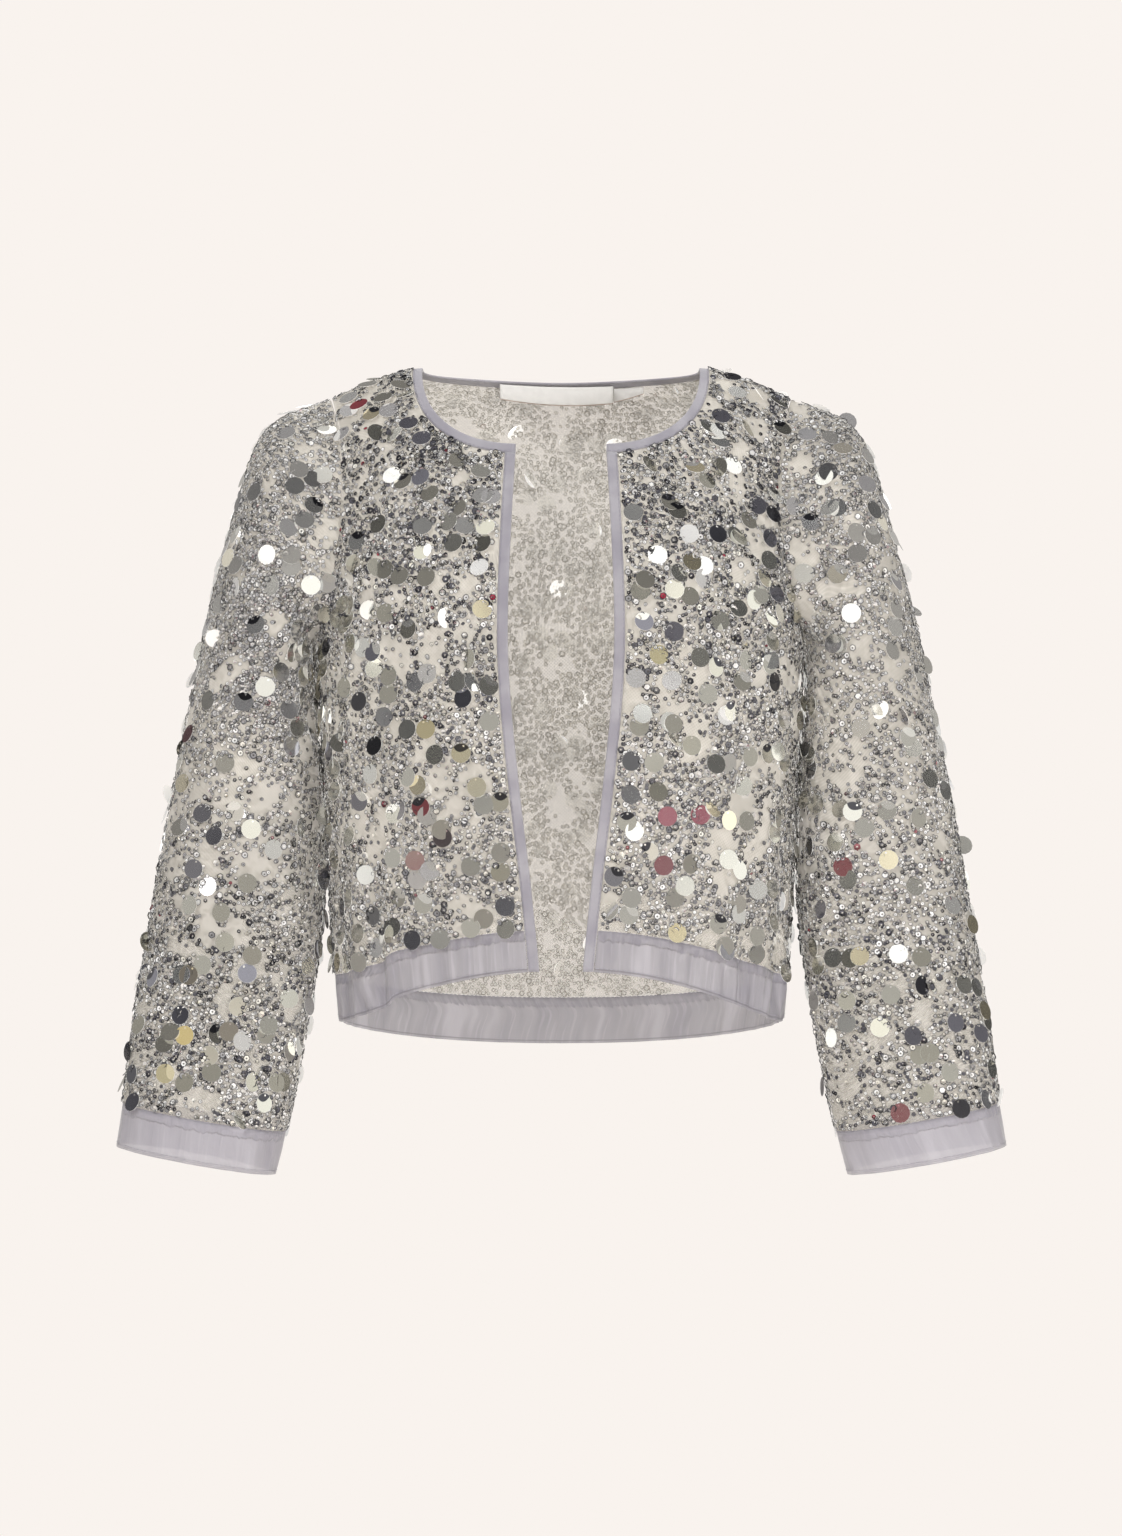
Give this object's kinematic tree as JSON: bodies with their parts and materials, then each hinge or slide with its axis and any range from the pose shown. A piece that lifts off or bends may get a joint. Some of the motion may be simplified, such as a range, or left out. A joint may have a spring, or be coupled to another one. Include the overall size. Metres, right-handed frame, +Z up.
{
  "type": "bolero",
  "caption": "Cropped open-front jacket with a round neck and seven-eighth sleeves, in sequinned net with sheer bands at the edges, standing open and hollow as worn.",
  "frame": {"origin": "midway between the shoulders, level with the middle of the shoulder seams, where the wearer's shoulders hold the jacket", "axes": "+X to the wearer's left, -Y out of the open front, +Z up along the wearer's body"},
  "size_m": [0.617, 0.2313, 0.5615],
  "materials": {
    "net": "sheer net, semi-matt",
    "organza": "sheer, faint sheen",
    "satin": "satin",
    "sequins": "polished metallised film",
    "thread": "matt"
  },
  "bodies": {
    "root": {"back": "net", "front_left": "net", "front_right": "net", "sleeve_left": "net", "sleeve_right": "net", "cuff_band_left": "organza", "cuff_band_right": "organza", "front_hem_band_left": "organza", "front_hem_band_right": "organza", "back_hem_band": "organza", "front_binding_left": "organza", "front_binding_right": "organza", "neck_binding": "organza", "neck_label": "satin", "size_tab": "satin"}
  },
  "joints": []
}
